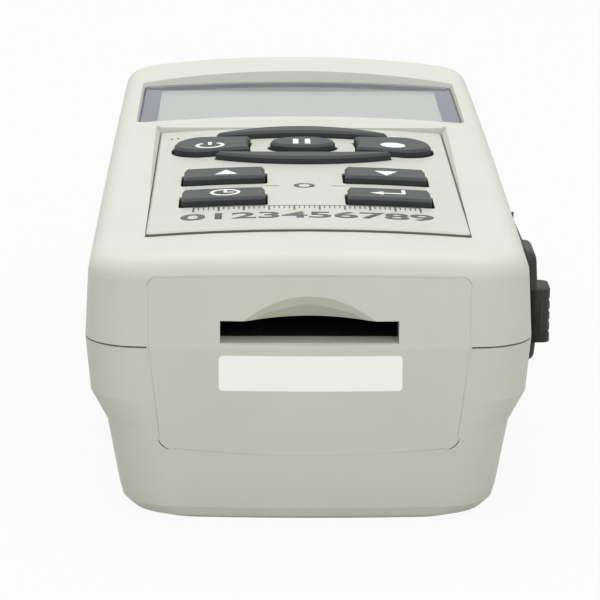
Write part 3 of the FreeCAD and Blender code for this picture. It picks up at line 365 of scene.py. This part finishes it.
# Rebate round the end plate
# The step in the case that the end plate's rim drops against. Only the bottom of the shallow gap
# round the plate shows it, in the same grey.
rebate_depth = 0.12
rebate_thickness = 0.5
rebate_width = 0.26
plate_half = (26.18, 24.28)
plate_top = (40.98, 41.48)
plate_foot = (12.22, 11.02)
plate_seam_z = 29.3
plate_corner_r = 2.1
plate_middle = Vector((0, 0, 26.0)) * MM
bow_steps = 16
side_steps = 4
shape = bmesh.new()
outline = []
for half, (edge_z, middle_z), way in ((plate_half[0], plate_top, 1), (plate_half[1], plate_foot, -1)):
    for step in range(bow_steps + 1):
        across = way * (2 * step / bow_steps - 1)
        outline.append((half * across, edge_z + (middle_z - edge_z) * (1 - across ** 2)))
    side = []
    for step in range(side_steps):
        share = step / side_steps
        side.append((way * (plate_half[0] + (plate_half[1] - plate_half[0]) * share),
                     plate_seam_z + (plate_foot[0] - plate_seam_z) * share))
    outline += side[::way]
rim = [shape.verts.new(Vector((x, 0, z)) * MM) for x, z in outline]
shape.faces.new(rim)
foot_start = bow_steps + 1 + side_steps
turns = [rim[i] for i in (0, bow_steps, foot_start, foot_start + bow_steps)]
bmesh.ops.bevel(shape, geom=turns, affect="VERTICES", offset=plate_corner_r * MM, segments=6, profile=0.5,
                material=-1)
bmesh.ops.inset_region(shape, faces=list(shape.faces), thickness=rebate_width * MM, use_boundary=True,
                       use_even_offset=True)
bmesh.ops.delete(shape, geom=[max(shape.faces, key=lambda face: len(face.verts))], context="FACES")
plate_surface = surface_of("end_plate")
for corner in shape.verts:
    inward = (plate_middle - corner.co).normalized() * MM
    hit = plate_surface.ray_cast(corner.co + inward - AWAY, AWAY)[0]
    corner.co.y = hit.y + (rebate_depth + rebate_thickness) * MM
thicken(shape, rebate_thickness * MM, AWAY)
add_piece("plate_rebate", shape, "housing", case_grey)


# Keypad plate
# A satin plastic plate glued into its recess. Its print is a plain scale of numbers along the near
# edge, a zero between two fine lines, and a small double dash at the far left.
crown_r = 350.0
keypad_top_z = 45.95
keypad_shaded_edge = 0.34


def crown_mask(tree, height, sharpness):
    """1 over a crowned surface whose middle has a height in millimetres, and 0 under it."""
    rise = place(tree, "Z") + place(tree, "X") ** 2.0 * (1 / (2 * crown_r)) - height
    return (rise * sharpness + 0.5).clipped()


def plate_skin(tree):
    """Satin on the crowned top; below it the plate's edge is painted dark as painted shade of its side
    wall.
    """
    face = crown_mask(tree, keypad_top_z - keypad_shaded_edge, sharpness=12.0)
    fine = grain(tree, 0.22)
    pale = blend(tree, grain(tree, 14.0, 2.0), tone(192, 194, 184), tone(197, 199, 190))
    # The dark grey under the top's edge is painted shade on the plate's side wall.
    return {"Base Color": blend(tree, face, tone(92, 92, 84), pale),
            "Roughness": 0.36 + fine * 0.14,
            "Normal": bumps(tree, fine, 0.004)}


dress(material("keypad_satin_and_edge_shade", plate_skin), "keypad_plate")


def ink_skin(colour, worn):
    """A screen-printed ink that thins in small specks."""
    def skin(tree):
        specks = (grain(tree, 0.18, 2.0) - 0.62).clipped() * 2.4
        return {"Base Color": blend(tree, specks, colour, worn),
                "Roughness": 0.45 + specks * 0.2,
                "Normal": bumps(tree, specks, 0.004)}
    return skin


def bar(shape, x, y, width, length, turn_degrees=0.0, steps=1):
    """A flat bar about a point, in millimetres. It runs along Y before its turn."""
    made = bmesh.ops.create_grid(shape, x_segments=1, y_segments=steps, size=0.5)["verts"]
    bmesh.ops.scale(shape, verts=made, vec=(width * MM, length * MM, 1))
    bmesh.ops.rotate(shape, verts=made, cent=(0, 0, 0),
                     matrix=Matrix.Rotation(math.radians(turn_degrees), 3, "Z"))
    bmesh.ops.translate(shape, verts=made, vec=(x * MM, y * MM, 0))


def ring(shape, x, y, inner, outer, start_degrees=0.0, sweep_degrees=360.0, steps=32):
    """A flat ring or part of one about a point, in millimetres."""
    start = Matrix.Rotation(math.radians(start_degrees), 3, "Z")
    centre = Vector((x, y, 0)) * MM
    edge = [shape.verts.new(centre + start @ Vector((r * MM, 0, 0))) for r in (inner, outer)]
    bmesh.ops.spin(shape, geom=edge + [shape.edges.new(edge)], cent=centre, axis=(0, 0, 1),
                   angle=math.radians(sweep_degrees), steps=steps, use_merge=sweep_degrees == 360.0)


def disc(shape, x, y, radius, segments=32, turn_degrees=0.0, squeeze=1.0):
    """A flat disc about a point, or with three segments a triangle, in millimetres."""
    made = bmesh.ops.create_circle(shape, cap_ends=True, segments=segments, radius=radius * MM)["verts"]
    bmesh.ops.rotate(shape, verts=made, cent=(0, 0, 0),
                     matrix=Matrix.Rotation(math.radians(turn_degrees), 3, "Z"))
    bmesh.ops.scale(shape, verts=made, vec=(1, squeeze, 1))
    bmesh.ops.translate(shape, verts=made, vec=(x * MM, y * MM, 0))


def number(shape, figure, x, y, height, widen, bold):
    """A flat numeral about a point, in millimetres, as wide and bold as its print."""
    curve = bpy.data.curves.new("numeral", "FONT")
    curve.body = figure
    curve.align_x = "CENTER"
    curve.align_y = "CENTER"
    curve.size = height * font_size_per_height * MM
    curve.offset = bold * MM
    curve.resolution_u = 4
    text = bpy.data.objects.new("numeral", curve)
    bpy.context.scene.collection.objects.link(text)
    bpy.context.view_layer.update()
    flat = bpy.data.meshes.new_from_object(text)
    bpy.data.objects.remove(text)
    old = set(shape.verts)
    shape.from_mesh(flat)
    made = [corner for corner in shape.verts if corner not in old]
    bmesh.ops.remove_doubles(shape, verts=made, dist=weld)
    made = [corner for corner in shape.verts if corner not in old]
    bmesh.ops.scale(shape, verts=made, vec=(widen, 1, 1))
    bmesh.ops.translate(shape, verts=made, vec=(x * MM, y * MM, 0))


font_size_per_height = 1.4
grey_ink = material("grey_ink", ink_skin(tone(66, 68, 62), tone(120, 122, 114)))
scale_half = 19.2
scale_steps = 9
scale_parts = 5
scale_near_y = -63.9
scale_far_y = -60.6
scale_number_y = -68.4
short_mark = 0.6
mark_width = 0.2
long_mark_width = 0.34
base_line = 0.3
zero_centre = (-0.2, -43.4)
zero_lines = (5.8, -43.3)
dash_centre = (-23.9, 5.5)
dash_gap = 1.2
shape = bmesh.new()
for step in range(scale_steps * scale_parts + 1):
    is_long = step % scale_parts == 0
    reach = (scale_far_y - scale_near_y) * (1.0 if is_long else short_mark)
    x = scale_half * (2 * step / (scale_steps * scale_parts) - 1)
    bar(shape, x, scale_far_y - reach / 2, long_mark_width if is_long else mark_width, reach)
bar(shape, 0, scale_far_y + mark_width, base_line, 2 * scale_half + long_mark_width, 90.0, steps=24)
for step in range(scale_steps + 1):
    x = scale_half * (2 * step / scale_steps - 1)
    number(shape, str(step), x, scale_number_y, height=4.8, widen=1.3, bold=0.14)
number(shape, "0", *zero_centre, height=4.0, widen=1.5, bold=0.02)
for side in (-1, 1):
    bar(shape, side * zero_lines[0], zero_lines[1], width=0.3, length=2.4, turn_degrees=90.0)
    bar(shape, dash_centre[0] + side * dash_gap / 2, dash_centre[1], width=0.35, length=1.4)
thicken(shape, ink_thickness, DOWN)
lay_on(shape, "keypad_plate", DOWN)
add_piece("keypad_print", shape, "housing", grey_ink)


# Keys
# Seven silicone caps and two fixed arcs of the mat behind the plate. Their tops have a satin grey
# coat, their sides are painted dark as painted shade, and the signs on them are printed in white.
key_top_z = 47.35
key_shaded_edge = 0.42


def key_skin(tree):
    """Grey coat on the crowned tops; below their rounded edge the sides are painted dark as painted shade.
    """
    coat = crown_mask(tree, key_top_z - key_shaded_edge, sharpness=6.0)
    fine = grain(tree, 0.3)
    grey = blend(tree, grain(tree, 6.0, 2.0), tone(44, 50, 49), tone(50, 56, 55))
    # The dark tone of the sides is painted shade.
    return {"Base Color": blend(tree, coat, tone(30, 34, 34), grey),
            "Roughness": 0.62 - coat * 0.06 + fine * 0.1,
            "Normal": bumps(tree, fine, 0.008)}


key_coat_and_side_shade = material("key_coat_and_side_shade", key_skin)
white_ink = material("white_ink", ink_skin(tone(238, 240, 240), tone(190, 194, 194)))
dress(key_coat_and_side_shade, "key_time", "key_enter", "key_up", "key_down", "key_hold", "key_power", "key_record",
      "keypad_mat")


def power_sign(shape):
    ring(shape, 0, 0, inner=2.0, outer=2.7, start_degrees=125.0, sweep_degrees=290.0)
    bar(shape, 0, 1.7, width=0.7, length=2.6)


def pause_sign(shape):
    for side in (-1, 1):
        bar(shape, side * 1.1, 0, width=1.0, length=4.6)


def record_sign(shape):
    disc(shape, 0, 0, radius=2.3)


def up_sign(shape):
    disc(shape, 0, -0.35, radius=2.3, segments=3, squeeze=1.15)


def down_sign(shape):
    disc(shape, 0, 0.35, radius=2.3, segments=3, turn_degrees=180.0, squeeze=1.15)


def clock_sign(shape):
    ring(shape, 0, 0, inner=2.0, outer=2.6)
    bar(shape, 0, 0.75, width=0.55, length=1.9)
    bar(shape, 0.65, 0, width=0.55, length=1.7, turn_degrees=90.0)


def return_sign(shape):
    bar(shape, 0.5, -0.9, width=0.65, length=4.0, turn_degrees=90.0)
    bar(shape, 2.35, 0.7, width=0.65, length=3.2)
    disc(shape, -1.9, -0.9, radius=1.5, segments=3, turn_degrees=90.0)


for key, x, y, sign in (("key_power", -17.1, -10.4, power_sign), ("key_hold", -0.2, -8.4, pause_sign),
                        ("key_record", 16.6, -10.0, record_sign), ("key_up", -13.9, -37.1, up_sign),
                        ("key_down", 14.3, -37.4, down_sign), ("key_time", -13.9, -55.0, clock_sign),
                        ("key_enter", 14.3, -54.6, return_sign)):
    shape = bmesh.new()
    sign(shape)
    bmesh.ops.triangulate(shape, faces=shape.faces)
    bmesh.ops.translate(shape, verts=shape.verts, vec=(x * MM, y * MM, 0))
    thicken(shape, ink_thickness, DOWN)
    lay_on(shape, key, DOWN)
    add_piece(key + "_sign", shape, key, white_ink)


# Display
# A clear low-glare acrylic window with a blue border printed on its underside. Just under it lies
# the pale grey-green face of the liquid crystal cell, whose glass sits in a steel frame below. The
# display is off, so only its fine dot grid shows.
lens_half = 31.2
lens_near_y = 18.85
lens_side_y = 63.75
lens_far_y = 70.25
lens_low_z = 43.7
border_inset = 0.15
border_side = 3.4
border_near = 3.4
border_far = 4.6
border_far_side = 4.0
border_lift = 0.02
film_inset = 3.1
film_low_z = 43.52
film_thickness = 0.14


def bowed(shape, half, near, side, far, steps=24):
    """The corners of a window outline, whose far edge bows outwards, in millimetres."""
    outline = [(-half, near), (half, near)]
    for step in range(steps + 1):
        x = half * (1 - 2 * step / steps)
        outline.append((x, side + (far - side) * (1 - (x / half) ** 2)))
    return [shape.verts.new(Vector((x, y, 0)) * MM) for x, y in outline]


def outline_edges(shape, corners):
    """The edges of a closed outline through its corners."""
    return [shape.edges.new((corners[i - 1], corners[i])) for i in range(len(corners))]


def lens_skin(tree):
    smears = grain(tree, 9.0, 4.0)
    return {"Base Color": tone(250, 253, 251), "Roughness": 0.02 + smears * 0.03, "IOR": 1.26,
            "Transmission Weight": 1.0}


def film_skin(tree):
    """The cell's pale film under the fine grid of its dots."""
    dots = (place(tree, "X") * 10.0).sine() * (place(tree, "Y") * 7.0).sine()
    shade = (grain(tree, 12.0, 2.0) * 0.5 + dots * 0.35 + 0.25).clipped()
    return {"Base Color": blend(tree, shade, tone(98, 103, 94), tone(108, 113, 104)),
            "Roughness": 0.4 + shade * 0.1}


def border_skin(tree):
    shade = grain(tree, 0.4, 2.0)
    return {"Base Color": blend(tree, shade, tone(12, 28, 78), tone(20, 36, 88)),
            "Roughness": 0.4 + shade * 0.1}


dress(material("clear_acrylic", lens_skin), "display_lens")
shape = bmesh.new()
outer = bowed(shape, lens_half - border_inset, lens_near_y + border_inset, lens_side_y,
              lens_far_y - border_inset)
inner = bowed(shape, lens_half - border_side, lens_near_y + border_near, lens_side_y - border_far_side,
              lens_far_y - border_far)
rims = outline_edges(shape, outer) + outline_edges(shape, inner)
bmesh.ops.bridge_loops(shape, edges=rims)
bmesh.ops.translate(shape, verts=shape.verts, vec=(0, 0, (lens_low_z + border_lift) * MM))
thicken(shape, ink_thickness, DOWN)
add_piece("display_border", shape, "housing", material("blue_border", border_skin))

shape = bmesh.new()
shape.faces.new(bowed(shape, lens_half - film_inset, lens_near_y + film_inset, lens_side_y - film_inset,
                      lens_far_y - film_inset))
bmesh.ops.translate(shape, verts=shape.verts, vec=(0, 0, film_low_z * MM))
thicken(shape, film_thickness * MM, DOWN)
add_piece("display_film", shape, "housing", material("display_film", film_skin))
cell_glass = material("cell_glass", moulded(tone(190, 196, 186), tone(182, 189, 179), 1.2, 0.002, 0.12))
dress(cell_glass, "lcd_glass")


# Steel parts
# Bright nickel-plated sheet and wire with faint drawing lines: the display frame, the battery
# contacts, the stand's pin, the screws and the clock cell of the main board, and the shell of the
# card socket, with its black moulding inside, whose black is partly painted shade.
def drawn_metal(light, dark, rough, squeeze):
    """Plated metal with fine lines from rolling, drawing or turning."""
    def skin(tree):
        lines = grain(tree, 0.5, 3.0, squeeze)
        haze = grain(tree, 4.0, 2.0)
        return {"Base Color": blend(tree, haze, dark, light), "Metallic": 1.0,
                "Roughness": rough + lines * 0.16,
                "Normal": bumps(tree, lines, 0.003)}
    return skin


plated_steel = material("plated_steel",
                        drawn_metal(tone(206, 205, 200), tone(188, 187, 182), 0.24, (0.1, 1, 1)))
dress(plated_steel, "lcd_frame", "battery_contacts", "stand_pin", "board_screws", "coin_cell")


socket_mouth_half = 14.5
socket_mouth_z = (29.3, 34.1)


def socket_skin(tree):
    """A steel shell round the black moulding that a card slides into; that black is partly painted shade.
    """
    between = (place(tree, "Z") > socket_mouth_z[0]) * (place(tree, "Z") < socket_mouth_z[1])
    inside = (abs(place(tree, "X")) < socket_mouth_half) * between
    lines = grain(tree, 0.5, 3.0, (0.1, 1, 1))
    # The black of the mouth is partly painted shade in the slot.
    return {"Base Color": blend(tree, inside, tone(196, 195, 190), tone(24, 24, 25)),
            "Metallic": 1.0 - inside, "Roughness": 0.26 + inside * 0.3 + lines * 0.1}


dress(material("card_socket", socket_skin), "card_socket")


# Screws of the underside
# Four pan-head screws in deep holes hold the case halves together, and a flat-head one holds the
# battery cover. Each has a cross recess for the driver.
tip_r = 0.15


def screw(shape, x, y, low_z, head_r, head, shank_r, reach):
    """A screw that stands on its head, with a cross recess in it, in millimetres."""
    profile = [(head_r * 0.8, 0.0), (head_r * 0.95, 0.12), (head_r, 0.4), (head_r, head),
               (shank_r, head), (shank_r, reach - 1.0), (tip_r, reach)]
    part = bmesh.new()
    points = [part.verts.new(Vector((radius, 0, height)) * MM) for radius, height in profile]
    spine = [part.edges.new(points[i:i + 2]) for i in range(len(points) - 1)]
    bmesh.ops.spin(part, geom=points + spine, cent=(0, 0, 0), axis=(0, 0, 1), angle=2 * math.pi, steps=40,
                   use_merge=True)
    rim = [edge for edge in part.edges if edge.is_boundary and edge.verts[0].co.z < 0.01 * MM]
    tip = [edge for edge in part.edges if edge.is_boundary and edge.verts[0].co.z > head * MM]
    bmesh.ops.holes_fill(part, edges=tip, sides=0)
    arm = head_r * 0.55
    thin = head_r * 0.13
    cross = [(arm, -thin), (arm, thin), (thin, thin), (thin, arm), (-thin, arm), (-thin, thin),
             (-arm, thin), (-arm, -thin), (-thin, -thin), (-thin, -arm), (thin, -arm), (thin, -thin)]
    recess = outline_edges(part, [part.verts.new(Vector((a, b, 0)) * MM) for a, b in cross])
    bmesh.ops.triangle_fill(part, edges=rim + recess, use_beauty=True)
    sunk = bmesh.ops.extrude_edge_only(part, edges=recess)["geom"]
    floor_corners = [thing for thing in sunk if isinstance(thing, bmesh.types.BMVert)]
    bmesh.ops.scale(part, verts=floor_corners, vec=(0.7, 0.7, 1))
    bmesh.ops.translate(part, verts=floor_corners, vec=(0, 0, min(head * 0.7, 1.0) * MM))
    floor_edges = [thing for thing in sunk if isinstance(thing, bmesh.types.BMEdge)]
    bmesh.ops.triangle_fill(part, edges=[edge for edge in floor_edges if edge.is_boundary], use_beauty=True)
    bmesh.ops.recalc_face_normals(part, faces=part.faces)
    bmesh.ops.translate(part, verts=part.verts, vec=Vector((x, y, low_z)) * MM)
    whole = bpy.data.meshes.new("screw")
    part.to_mesh(whole)
    part.free()
    shape.from_mesh(whole)


screw_steel = material("screw_steel",
                       drawn_metal(tone(188, 188, 184), tone(160, 160, 156), 0.28, (1, 1, 0.2)))
case_screw_x = 22.0
case_screw_y = (-84.15, 82.75)
cover_screw_y = 15.85
shape = bmesh.new()
for x in (-case_screw_x, case_screw_x):
    for y in case_screw_y:
        screw(shape, x, y, low_z=1.4, head_r=2.4, head=1.6, shank_r=1.25, reach=32.0)
piece = add_piece("case_screw_set", shape, "housing", screw_steel)
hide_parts("case_screws")
shape = bmesh.new()
screw(shape, 0, cover_screw_y, low_z=0.1, head_r=2.6, head=0.9, shank_r=1.2, reach=8.5)
piece = add_piece("cover_screw", shape, "housing", screw_steel)
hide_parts("battery_cover_screw")


# Boards and what sits on them
# Green glass-fibre boards, whose copper tracks show paler through the solder mask. On them sit
# black moulded parts and one red reset button.
def board_skin(tree):
    """Solder mask over fine tracks that run mostly along the board."""
    tracks = tree.node("ShaderNodeTexWave", {"wave_type": "BANDS", "bands_direction": "X"},
                       {"Scale": 140.0, "Distortion": 3.0, "Detail": 1.0, "Detail Scale": 0.4,
                        "Vector": tree.node("ShaderNodeTexCoord", {}, {}, out="Object")}, out="Fac")
    copper = (tracks > 0.62) * (grain(tree, 9.0, 1.0) > 0.48)
    return {"Base Color": blend(tree, copper, tone(20, 92, 48), tone(36, 122, 66)),
            "Roughness": 0.3 + grain(tree, 1.0) * 0.15,
            "Normal": bumps(tree, copper, 0.03)}


dress(material("solder_mask", board_skin), "main_board", "card_board", "jack_board")
black_moulding = material("black_moulding", moulded(tone(44, 44, 45), tone(36, 36, 37), 0.3, 0.01, 0.45))
dress(black_moulding, "controller_chip", "buzzer", "board_connector", "dc_jack", "serial_jack",
      "reset_switch", "pressure_sensor")
red_moulding = material("red_moulding", moulded(tone(196, 44, 36), tone(182, 38, 32), 0.3, 0.006, 0.3))
dress(red_moulding, "reset_button")


# Hose ports
# Turned brass barbs with a nickel plate, each with a nut behind the wall and a pale silicone tube
# that runs to the sensor. The fine rings are the turning marks.
nickel = material("nickel_plate",
                  drawn_metal(tone(214, 210, 200), tone(198, 194, 184), 0.16, (0.2, 2, 0.2)))
dress(nickel, "port_high", "port_low", "port_nuts")
dress(material("silicone_tube", moulded(tone(222, 222, 214), tone(210, 210, 201), 1.0, 0.004, 0.3)),
      "inner_tube_high", "inner_tube_low")


# Tripod insert
# A brass insert moulded into the underside, with bright turning marks round its tapped hole.
dress(material("turned_brass", drawn_metal(tone(202, 168, 98), tone(184, 148, 80), 0.26, (0.3, 0.3, 2.0))),
      "tripod_insert")


# Jack cover
# One soft black rubber moulding: a cover with a ribbed pull on it, and the strip that holds it.
# Its top edge stays below the case's edge, and its foot is trimmed a little. Handling has left its
# skin slightly chalky in patches.
def cover_skin(tree):
    fine = grain(tree, 0.25)
    chalk = (grain(tree, 5.0, 4.0) - 0.52).clipped() * 1.6
    return {"Base Color": blend(tree, chalk, tone(28, 29, 26), tone(44, 45, 42)),
            "Roughness": 0.58 + fine * 0.12 + chalk * 0.1,
            "Normal": bumps(tree, fine, 0.015)}


cover_rubber = material("cover_rubber", cover_skin)
cover_edge_from_z = 34.0
cover_edge_drop = 1.3
cover_top_z = 38.6
cover_lip_y = -61.9
cover_foot_z = 20.6
cover_foot_rise = 1.0
cover_foot_curve = 3
cover_weld = 0.0005 * MM
cover_crease_degrees = 35
for node, body in (("side_cover", "side_cover"), ("cover_anchor", "housing")):
    shape = bmesh.new()
    shape.from_mesh(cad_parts[node].data)
    bmesh.ops.remove_doubles(shape, verts=shape.verts, dist=cover_weld)
    for corner in shape.verts:
        up = corner.co.z / MM
        if corner.co.y > cover_lip_y * MM and up > cover_edge_from_z:
            share = (up - cover_edge_from_z) / (cover_top_z - cover_edge_from_z)
            corner.co.z -= cover_edge_drop * share * MM
        foot = 1 - (up - cover_foot_z) / (cover_edge_from_z - cover_foot_z)
        corner.co.z += cover_foot_rise * max(foot, 0.0) ** cover_foot_curve * MM
    piece = add_piece("jack_" + node, shape, body, cover_rubber)
    piece.data.shade_smooth()
    piece.data.set_sharp_from_angle(angle=math.radians(cover_crease_degrees))
    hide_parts(node)


# Battery cells
# Six AA cells in printed shrink sleeves: a plain two-tone sleeve that stops short of bare steel ends.
sleeve_end = 24.2
sleeve_band_start = 9.0


def cell_skin(way):
    """A sleeve with a pale band near its positive end, which changes sides from cell to cell."""
    def skin(tree):
        bare = abs(place(tree, "X")) > sleeve_end
        band = place(tree, "X") * way > sleeve_band_start
        sleeve = blend(tree, band, tone(58, 66, 82), tone(158, 164, 170))
        return {"Base Color": blend(tree, bare, sleeve, tone(196, 195, 190)),
                "Metallic": 0.55 + bare * 0.45, "Roughness": 0.32 + grain(tree, 2.0) * 0.12}
    return skin


dress(material("cell_sleeve_right", cell_skin(1)), "aa_cell_1", "aa_cell_3", "aa_cell_5")
dress(material("cell_sleeve_left", cell_skin(-1)), "aa_cell_2", "aa_cell_4", "aa_cell_6")
